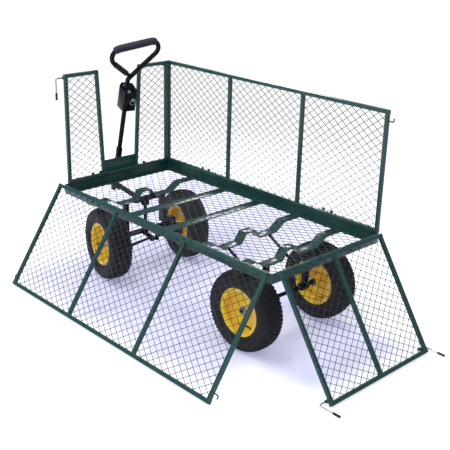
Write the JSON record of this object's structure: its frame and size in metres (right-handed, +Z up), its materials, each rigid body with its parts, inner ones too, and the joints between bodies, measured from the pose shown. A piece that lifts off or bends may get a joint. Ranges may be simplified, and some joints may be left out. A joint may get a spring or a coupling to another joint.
{
  "type": "garden cart",
  "caption": "Four-wheeled garden cart with a mesh load bed, drop-down mesh gates, steered front wheels and a tilting pull handle.",
  "frame": {"origin": "on the ground, midway between the four wheels", "axes": "+X towards the rear gate along the cart, +Y towards the right gate, +Z up"},
  "size_m": [1.6919, 0.8695, 0.9857],
  "materials": {
    "frame_paint": "satin powder coat, dark bluish green",
    "black_paint": "gloss powder coat, black",
    "rim_paint": "gloss enamel, yellow",
    "mesh_wire": "satin powder coat on wire, dark",
    "zinc_steel": "zinc-plated steel",
    "tyre_rubber": "dull black rubber with a block tread",
    "foam_grip": "soft matt foam",
    "sleeve_plastic": "dipped vinyl, black"
  },
  "bodies": {
    "chassis": {"tray_frame": "frame_paint", "floor_mesh": "mesh_wire", "front_strap": "frame_paint", "middle_straps": "frame_paint", "strut_strap": "frame_paint", "rear_strap": "frame_paint", "front_hangers": "black_paint", "front_axle_beam": "black_paint", "steering_bridge": "black_paint", "kingpins": "zinc_steel", "rear_axle_brackets": "black_paint", "rear_axle": "black_paint", "rear_axle_nuts": "zinc_steel", "rear_struts": "black_paint", "tray_hinges": "frame_paint", "hinge_pins": "zinc_steel"},
    "drawbar_assembly": {"drawbar": "black_paint", "steering_column": "black_paint", "handle_pivot_bolt": "zinc_steel"},
    "handle_assembly": {"handle_shaft": "black_paint", "hitch_head": "black_paint", "grip_bolt": "zinc_steel"},
    "grip_assembly": {"grip_tube": "black_paint", "grip_foam": "foam_grip", "grip_sleeve": "sleeve_plastic"},
    "hitch_pin_body": {"hitch_pin": "zinc_steel"},
    "left_knuckle_assembly": {"left_knuckle": "black_paint", "left_stub_nut": "zinc_steel"},
    "right_knuckle_assembly": {"right_knuckle": "black_paint", "right_stub_nut": "zinc_steel"},
    "left_tie_rod_link": {"left_tie_rod": "black_paint"},
    "right_tie_rod_link": {"right_tie_rod": "black_paint"},
    "left_gate": {"left_gate_frame": "frame_paint", "left_gate_mesh": "mesh_wire"},
    "right_gate": {"right_gate_frame": "frame_paint", "right_gate_mesh": "mesh_wire"},
    "front_gate": {"front_gate_frame": "frame_paint", "front_gate_mesh": "mesh_wire"},
    "rear_gate": {"rear_gate_frame": "frame_paint", "rear_gate_mesh": "mesh_wire"},
    "front_left_wheel": {"front_left_tyre": "tyre_rubber", "front_left_rim": "rim_paint", "front_left_bearings": "zinc_steel"},
    "front_left_latch": {"front_left_latch_rod": "zinc_steel", "front_left_latch_grip": "sleeve_plastic"},
    "front_right_wheel": {"front_right_tyre": "tyre_rubber", "front_right_rim": "rim_paint", "front_right_bearings": "zinc_steel"},
    "front_right_latch": {"front_right_latch_rod": "zinc_steel", "front_right_latch_grip": "sleeve_plastic"},
    "rear_left_wheel": {"rear_left_tyre": "tyre_rubber", "rear_left_rim": "rim_paint", "rear_left_bearings": "zinc_steel"},
    "rear_left_latch": {"rear_left_latch_rod": "zinc_steel", "rear_left_latch_grip": "sleeve_plastic"},
    "rear_right_wheel": {"rear_right_tyre": "tyre_rubber", "rear_right_rim": "rim_paint", "rear_right_bearings": "zinc_steel"},
    "rear_right_latch": {"rear_right_latch_rod": "zinc_steel", "rear_right_latch_grip": "sleeve_plastic"}
  },
  "joints": [
    {"name": "left_gate_hinge", "type": "hinge", "parent": "chassis", "child": "left_gate", "pos_m": [0, -0.296, 0.3885], "axis": [-1, 0, 0], "range_deg": [0, 146.9]},
    {"name": "right_gate_hinge", "type": "hinge", "parent": "chassis", "child": "right_gate", "pos_m": [0, 0.296, 0.3885], "axis": [-1, 0, 0], "range_deg": [0, 146.9]},
    {"name": "front_gate_hinge", "type": "hinge", "parent": "chassis", "child": "front_gate", "pos_m": [-0.616, 0, 0.3885], "axis": [0, -1, 0], "range_deg": [0, 146.9]},
    {"name": "rear_gate_hinge", "type": "hinge", "parent": "chassis", "child": "rear_gate", "pos_m": [0.616, 0, 0.3885], "axis": [0, -1, 0], "range_deg": [0, 146.9]},
    {"name": "front_left_latch_turn", "type": "hinge", "parent": "front_gate", "child": "front_left_latch", "pos_m": [-0.626, -0.2635, 0.837], "axis": [0, -1, 0], "range_deg": [0, 124.3]},
    {"name": "rear_left_latch_turn", "type": "hinge", "parent": "rear_gate", "child": "rear_left_latch", "pos_m": [0.85258, -0.2635, 0.00734], "axis": [0, -1, 0], "range_deg": [0, 124.3]},
    {"name": "front_right_latch_turn", "type": "hinge", "parent": "front_gate", "child": "front_right_latch", "pos_m": [-0.626, 0.2635, 0.837], "axis": [0, -1, 0], "range_deg": [0, 124.3]},
    {"name": "rear_right_latch_turn", "type": "hinge", "parent": "rear_gate", "child": "rear_right_latch", "pos_m": [0.85258, 0.2635, 0.00734], "axis": [0, -1, 0], "range_deg": [0, 124.3]},
    {"name": "steering", "type": "hinge", "parent": "chassis", "child": "drawbar_assembly", "pos_m": [-0.425, 0, 0.3], "axis": [0, 0, 1], "range_deg": [-2, 25]},
    {"name": "left_kingpin", "type": "hinge", "parent": "chassis", "child": "left_knuckle_assembly", "pos_m": [-0.41, -0.126, 0.155], "axis": [0, 0, 1], "range_deg": [-2, 25]},
    {"name": "left_tie_rod_turn", "type": "hinge", "parent": "drawbar_assembly", "child": "left_tie_rod_link", "pos_m": [-0.3441, -0.02871, 0.155], "axis": [0, 0, 1], "range_deg": [-25, 2]},
    {"name": "front_left_wheel_spin", "type": "hinge", "parent": "left_knuckle_assembly", "child": "front_left_wheel", "pos_m": [-0.42535, -0.20145, 0.155], "axis": [0.1994, 0.9799, 0], "continuous": true},
    {"name": "rear_left_wheel_spin", "type": "hinge", "parent": "chassis", "child": "rear_left_wheel", "pos_m": [0.41, -0.203, 0.155], "axis": [0, 1, 0], "continuous": true},
    {"name": "right_kingpin", "type": "hinge", "parent": "chassis", "child": "right_knuckle_assembly", "pos_m": [-0.41, 0.126, 0.155], "axis": [0, 0, 1], "range_deg": [-2, 25]},
    {"name": "right_tie_rod_turn", "type": "hinge", "parent": "drawbar_assembly", "child": "right_tie_rod_link", "pos_m": [-0.33931, -0.00519, 0.155], "axis": [0, 0, 1], "range_deg": [-25, 2]},
    {"name": "front_right_wheel_spin", "type": "hinge", "parent": "right_knuckle_assembly", "child": "front_right_wheel", "pos_m": [-0.39465, 0.20145, 0.155], "axis": [0.1994, 0.9799, 0], "continuous": true},
    {"name": "rear_right_wheel_spin", "type": "hinge", "parent": "chassis", "child": "rear_right_wheel", "pos_m": [0.41, 0.203, 0.155], "axis": [0, 1, 0], "continuous": true},
    {"name": "handle_tilt", "type": "hinge", "parent": "drawbar_assembly", "child": "handle_assembly", "pos_m": [-0.73466, 0.063, 0.275], "axis": [-0.1994, -0.9799, 0], "range_deg": [0, 120]},
    {"name": "grip_swing", "type": "hinge", "parent": "handle_assembly", "child": "grip_assembly", "pos_m": [-0.58248, 0.02561, 0.76562], "axis": [-0.9335, 0.1899, 0.304], "range_deg": [0, 75]},
    {"name": "hitch_pin_slide", "type": "slide", "parent": "handle_assembly", "child": "hitch_pin_body", "axis": [0.9335, -0.1899, -0.304], "range_m": [0, 0.03]}
  ],
  "couplings": [
    {"joint": "left_kingpin", "follows": "steering", "ratio": 1},
    {"joint": "left_tie_rod_turn", "follows": "steering", "ratio": -1},
    {"joint": "right_kingpin", "follows": "steering", "ratio": 1},
    {"joint": "right_tie_rod_turn", "follows": "steering", "ratio": -1}
  ]
}
